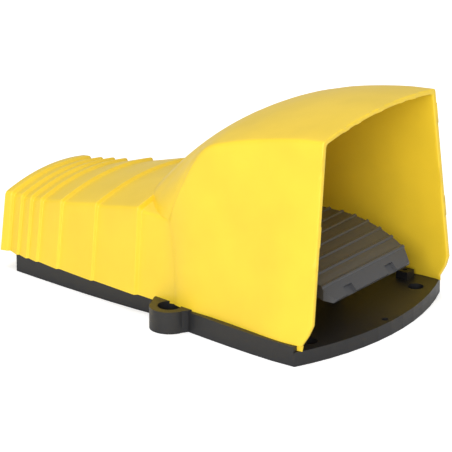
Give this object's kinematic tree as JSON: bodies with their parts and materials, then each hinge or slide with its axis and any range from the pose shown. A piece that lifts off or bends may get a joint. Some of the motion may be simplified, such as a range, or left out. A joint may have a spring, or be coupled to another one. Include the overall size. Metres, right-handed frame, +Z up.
{
  "type": "industrial foot switch",
  "caption": "Covered industrial foot switch with a stepped housing, a tall open hood, a ribbed sprung pedal and a dark base with fixing lugs.",
  "frame": {"origin": "middle of the bounding box at floor level", "axes": "+Z up; the hood opens and the foot comes in from -Y; +Y is along the length towards the cable entries; +X is to the right seen from behind the hood"},
  "size_m": [0.1718, 0.28, 0.1538],
  "materials": {
    "cover": "satin moulded, yellow",
    "base": "fine-grained, black",
    "pedal": "satin moulded, dark grey",
    "block": "moulded, charcoal",
    "acetal": "smooth, natural white",
    "rubber": "matt, black",
    "steel": "zinc plated",
    "spring_steel": "drawn wire"
  },
  "bodies": {
    "base": {"base": "base", "cover": "cover", "cover_gasket": "rubber", "cover_screws": "steel", "cover_clips": "base", "hinge_pin": "steel", "pin_clips": "spring_steel", "return_spring_left": "spring_steel", "return_spring_right": "spring_steel", "stop_buffers": "rubber", "plunger_seals": "rubber", "contact_block_left": "block", "contact_block_right": "block", "terminal_screws_left": "steel", "terminal_screws_right": "steel", "block_screws": "steel", "entry_plug": "base", "entry_seal": "rubber"},
    "pedal": {"pedal": "pedal", "push_lever": "steel", "lever_screws": "steel", "hinge_bushes": "acetal"},
    "plunger_left": {"plunger_left": "acetal"},
    "plunger_right": {"plunger_right": "acetal"}
  },
  "joints": [
    {"name": "pedal_hinge", "type": "hinge", "parent": "base", "child": "pedal", "pos_m": [0, -0.002, 0.037], "axis": [1, 0, 0], "range_deg": [0, 8.5], "stiffness_Nm_per_rad": 12, "springref_deg": -8.59, "deforming": ["return_spring_left", "return_spring_right"]},
    {"name": "plunger_left_slide", "type": "slide", "parent": "base", "child": "plunger_left", "axis": [0, 1, 0], "range_m": [0, 0.0024]},
    {"name": "plunger_right_slide", "type": "slide", "parent": "base", "child": "plunger_right", "axis": [0, 1, 0], "range_m": [0, 0.0024]}
  ],
  "couplings": [
    {"joint": "plunger_left_slide", "follows": "pedal_hinge", "m_per_rad": 0.016},
    {"joint": "plunger_right_slide", "follows": "pedal_hinge", "m_per_rad": 0.016}
  ]
}
